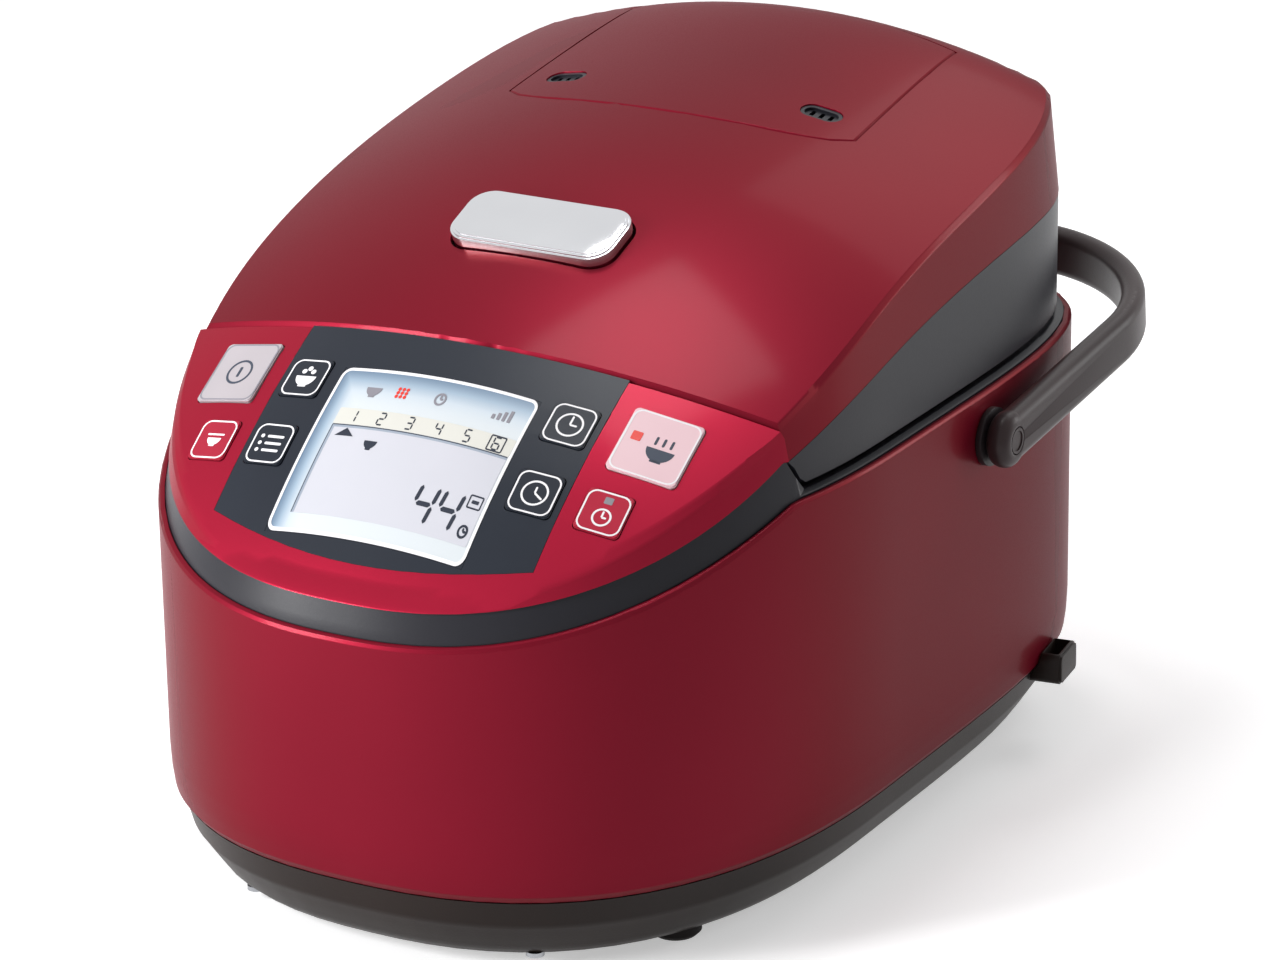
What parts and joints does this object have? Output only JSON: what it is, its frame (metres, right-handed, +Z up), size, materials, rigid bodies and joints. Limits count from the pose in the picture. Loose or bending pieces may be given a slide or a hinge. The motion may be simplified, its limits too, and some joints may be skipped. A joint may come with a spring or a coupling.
{
  "type": "rice cooker",
  "caption": "Electric rice cooker with a hinged domed lid, push-to-open button, sloping control panel, swing-up carrying bail, lift-off steam cap and removable inner pot.",
  "frame": {"origin": "centre of the overall box in plan, on the plane the feet stand on", "axes": "+Z up, the control panel faces -Y and the carrying bail lies towards +Y, +X is the right hand of someone who faces the panel"},
  "size_m": [0.2768, 0.3908, 0.2539],
  "materials": {
    "red_paint": "deep metallic red, satin gloss",
    "red_key": "red rubber dome key, flush",
    "dark_plastic": "dark brown moulded plastic, fine grain",
    "handle_plastic": "dark brown moulded plastic, satin",
    "bush_plastic": "near-black moulded plastic",
    "grey_plastic": "dark grey moulded plastic, satin",
    "navy_panel": "navy charcoal overlay film",
    "navy_key": "navy charcoal key with a pale outline",
    "silver_key": "silver grey key",
    "pale_key": "pale pink key",
    "window_glass": "clear window over a pale display",
    "lcd_plastic": "liquid crystal module",
    "board_green": "circuit board with solder resist",
    "chrome": "polished chrome plating",
    "steel": "zinc plated steel",
    "plate_steel": "brushed stainless sheet",
    "liner_metal": "grey coated liner",
    "aluminium": "extruded aluminium",
    "copper": "litz copper winding",
    "ferrite": "pressed ferrite",
    "pot_coating": "dark non-stick coating",
    "silicone": "grey silicone",
    "foot_rubber": "black rubber",
    "pale_plastic": "heat resistant plastic, pale grey",
    "black_plastic": "black moulded plastic",
    "vent_plastic": "black moulded grille",
    "latch_plastic": "glass filled plastic",
    "heater_foil": "foil heater"
  },
  "bodies": {
    "body": {"body_shell": "red_paint", "base_pan": "dark_plastic", "rubber_feet": "foot_rubber", "base_screws": "steel", "shoulder_frame": "grey_plastic", "control_bezel": "red_paint", "display_panel": "navy_panel", "display_window": "window_glass", "lcd_module": "lcd_plastic", "control_board": "board_green", "well_liner": "liner_metal", "coil_carrier": "pale_plastic", "induction_coil": "copper", "ferrite_bars": "ferrite", "sensor_spring": "steel", "power_board": "board_green", "heat_sink": "aluminium", "fan_housing": "black_plastic", "cord_reel_case": "black_plastic", "cord_outlet": "dark_plastic", "inner_pot": "pot_coating", "hinge_pin": "steel", "hinge_springs": "steel", "latch_keeper": "steel", "pivot_bushes": "bush_plastic", "bail_caps": "handle_plastic", "paddle_sockets": "dark_plastic"},
    "lid": {"lid_cover": "red_paint", "lid_skirt": "grey_plastic", "lid_inner_cover": "pale_plastic", "lid_screws": "steel", "inner_lid_plate": "plate_steel", "lid_gasket": "silicone", "lid_heater": "heater_foil", "valve_housing": "pale_plastic", "steam_duct": "pale_plastic", "cap_tray": "grey_plastic", "button_well": "dark_plastic", "button_spring": "steel", "latch_pin": "steel"},
    "bail": {"handle_bail": "handle_plastic"},
    "cap": {"steam_cap": "red_paint", "steam_vents": "vent_plastic"},
    "button": {"open_button": "chrome"},
    "latch": {"latch_hook": "latch_plastic"},
    "ball": {"pressure_ball": "steel"},
    "sensor": {"pot_sensor": "steel"},
    "fan": {"fan_rotor": "black_plastic"},
    "reel": {"cord_reel_drum": "black_plastic"},
    "key_cancel_body": {"key_cancel": "silver_key"},
    "key_small_batch_body": {"key_small_batch": "red_key"},
    "key_rice_body": {"key_rice": "navy_key"},
    "key_menu_body": {"key_menu": "navy_key"},
    "key_hour_body": {"key_hour": "navy_key"},
    "key_minute_body": {"key_minute": "navy_key"},
    "key_start_body": {"key_start": "pale_key"},
    "key_timer_body": {"key_timer": "red_key"}
  },
  "joints": [
    {"name": "lid_hinge", "type": "hinge", "parent": "body", "child": "lid", "pos_m": [0, 0.14971, 0.16], "axis": [-1, 0, 0], "range_deg": [0, 76]},
    {"name": "bail_hinge", "type": "hinge", "parent": "body", "child": "bail", "pos_m": [0, 0.03131, 0.1373], "axis": [1, 0, 0], "range_deg": [0, 85]},
    {"name": "steam_cap_lift", "type": "slide", "parent": "lid", "child": "cap", "axis": [0, 0, 1], "range_m": [0, 0.04]},
    {"name": "open_button_press", "type": "slide", "parent": "lid", "child": "button", "axis": [0, 0.3657, -0.9307], "range_m": [0, 0.004], "stiffness_N_per_m": 800, "deforming": ["button_spring"]},
    {"name": "latch_swing", "type": "hinge", "parent": "lid", "child": "latch", "pos_m": [0, -0.09209, 0.173], "axis": [-1, 0, 0], "range_deg": [0, 5]},
    {"name": "pressure_ball_lift", "type": "slide", "parent": "lid", "child": "ball", "axis": [0, 0, 1], "range_m": [0, 0.0025]},
    {"name": "pot_sensor_press", "type": "slide", "parent": "body", "child": "sensor", "axis": [0, 0, -1], "range_m": [0, 0.002], "stiffness_N_per_m": 600, "deforming": ["sensor_spring"]},
    {"name": "fan_spin", "type": "hinge", "parent": "body", "child": "fan", "pos_m": [0.046, -0.12409, 0.008], "axis": [0, 0, 1], "continuous": true},
    {"name": "cord_reel_spin", "type": "hinge", "parent": "body", "child": "reel", "pos_m": [0.01, 0.11591, 0.07], "axis": [0, 1, 0], "continuous": true},
    {"name": "key_cancel_press", "type": "slide", "parent": "body", "child": "key_cancel_body", "axis": [0.2248, 0.5192, -0.8246], "range_m": [0, 0.0007], "stiffness_N_per_m": 1500},
    {"name": "key_small_batch_press", "type": "slide", "parent": "body", "child": "key_small_batch_body", "axis": [0.1982, 0.5943, -0.7794], "range_m": [0, 0.0007], "stiffness_N_per_m": 1500},
    {"name": "key_rice_press", "type": "slide", "parent": "body", "child": "key_rice_body", "axis": [0.1434, 0.5384, -0.8304], "range_m": [0, 0.0007], "stiffness_N_per_m": 1500},
    {"name": "key_menu_press", "type": "slide", "parent": "body", "child": "key_menu_body", "axis": [0.135, 0.6088, -0.7818], "range_m": [0, 0.0007], "stiffness_N_per_m": 1500},
    {"name": "key_hour_press", "type": "slide", "parent": "body", "child": "key_hour_body", "axis": [-0.1434, 0.5384, -0.8304], "range_m": [0, 0.0007], "stiffness_N_per_m": 1500},
    {"name": "key_minute_press", "type": "slide", "parent": "body", "child": "key_minute_body", "axis": [-0.135, 0.6088, -0.7818], "range_m": [0, 0.0007], "stiffness_N_per_m": 1500},
    {"name": "key_start_press", "type": "slide", "parent": "body", "child": "key_start_body", "axis": [-0.2248, 0.5192, -0.8246], "range_m": [0, 0.0007], "stiffness_N_per_m": 1500},
    {"name": "key_timer_press", "type": "slide", "parent": "body", "child": "key_timer_body", "axis": [-0.1982, 0.5943, -0.7794], "range_m": [0, 0.0007], "stiffness_N_per_m": 1500}
  ],
  "couplings": [
    {"joint": "latch_swing", "follows": "open_button_press", "rad_per_m": 19.7}
  ]
}
